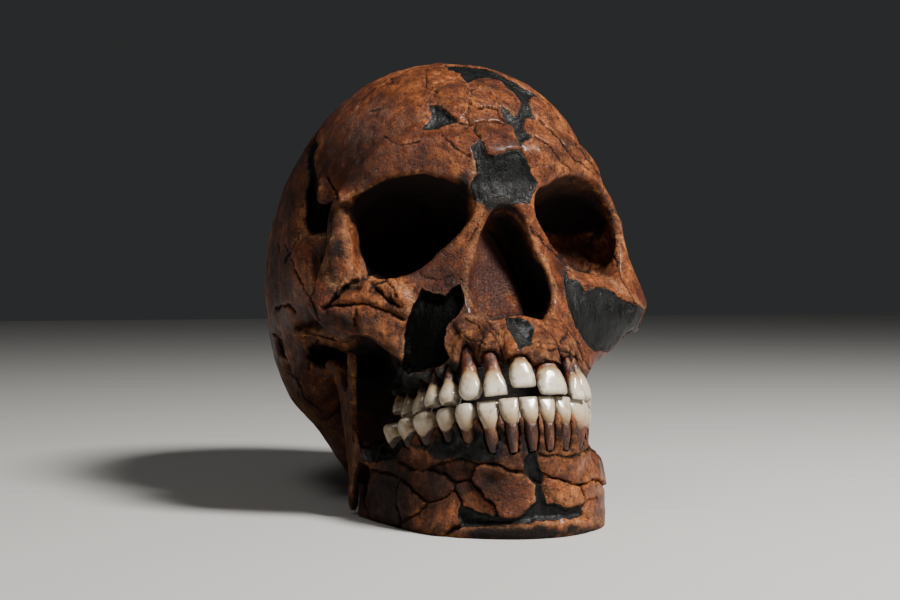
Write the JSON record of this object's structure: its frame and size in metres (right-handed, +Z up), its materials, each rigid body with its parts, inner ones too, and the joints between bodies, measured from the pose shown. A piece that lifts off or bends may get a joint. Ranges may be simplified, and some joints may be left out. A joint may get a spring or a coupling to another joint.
{
  "type": "fossil skull with lower jaw",
  "caption": "Pieced-together fossil hominid skull with its lower jaw: domed braincase, heavy brow, dark filler in the gaps and full rows of pale teeth.",
  "frame": {"origin": "middle of the footprint of the whole skull on the surface it rests on", "axes": "+X to the left side of the skull, +Y to its back, +Z up; the face looks along -Y"},
  "size_m": [0.1378, 0.2319, 0.177],
  "materials": {
    "bone": "fossil bone, red brown, semi-gloss with fine cracks",
    "filler": "dark grey modelling filler, brushed satin",
    "enamel": "glossy cream enamel with brown roots"
  },
  "bodies": {
    "root": {"cranium": "bone", "mandible": "bone", "glabella_filler": "filler", "forehead_filler": "filler", "forehead_small_filler": "filler", "left_cheek_filler": "filler", "right_cheek_filler": "filler", "nasal_floor_filler": "filler", "jaw_front_filler": "filler", "right_jaw_angle_filler": "filler", "upper_right_central_incisor": "enamel", "upper_right_lateral_incisor": "enamel", "upper_right_canine": "enamel", "upper_right_first_premolar": "enamel", "upper_right_second_premolar": "enamel", "upper_right_first_molar": "enamel", "upper_right_second_molar": "enamel", "upper_right_third_molar": "enamel", "upper_left_central_incisor": "enamel", "upper_left_lateral_incisor": "enamel", "upper_left_canine": "enamel", "upper_left_first_premolar": "enamel", "upper_left_second_premolar": "enamel", "upper_left_first_molar": "enamel", "upper_left_second_molar": "enamel", "upper_left_third_molar": "enamel", "lower_right_central_incisor": "enamel", "lower_right_lateral_incisor": "enamel", "lower_right_canine": "enamel", "lower_right_first_premolar": "enamel", "lower_right_second_premolar": "enamel", "lower_right_first_molar": "enamel", "lower_right_second_molar": "enamel", "lower_right_third_molar": "enamel", "lower_left_central_incisor": "enamel", "lower_left_lateral_incisor": "enamel", "lower_left_canine": "enamel", "lower_left_first_premolar": "enamel", "lower_left_second_premolar": "enamel", "lower_left_first_molar": "enamel", "lower_left_second_molar": "enamel", "lower_left_third_molar": "enamel"}
  },
  "joints": []
}
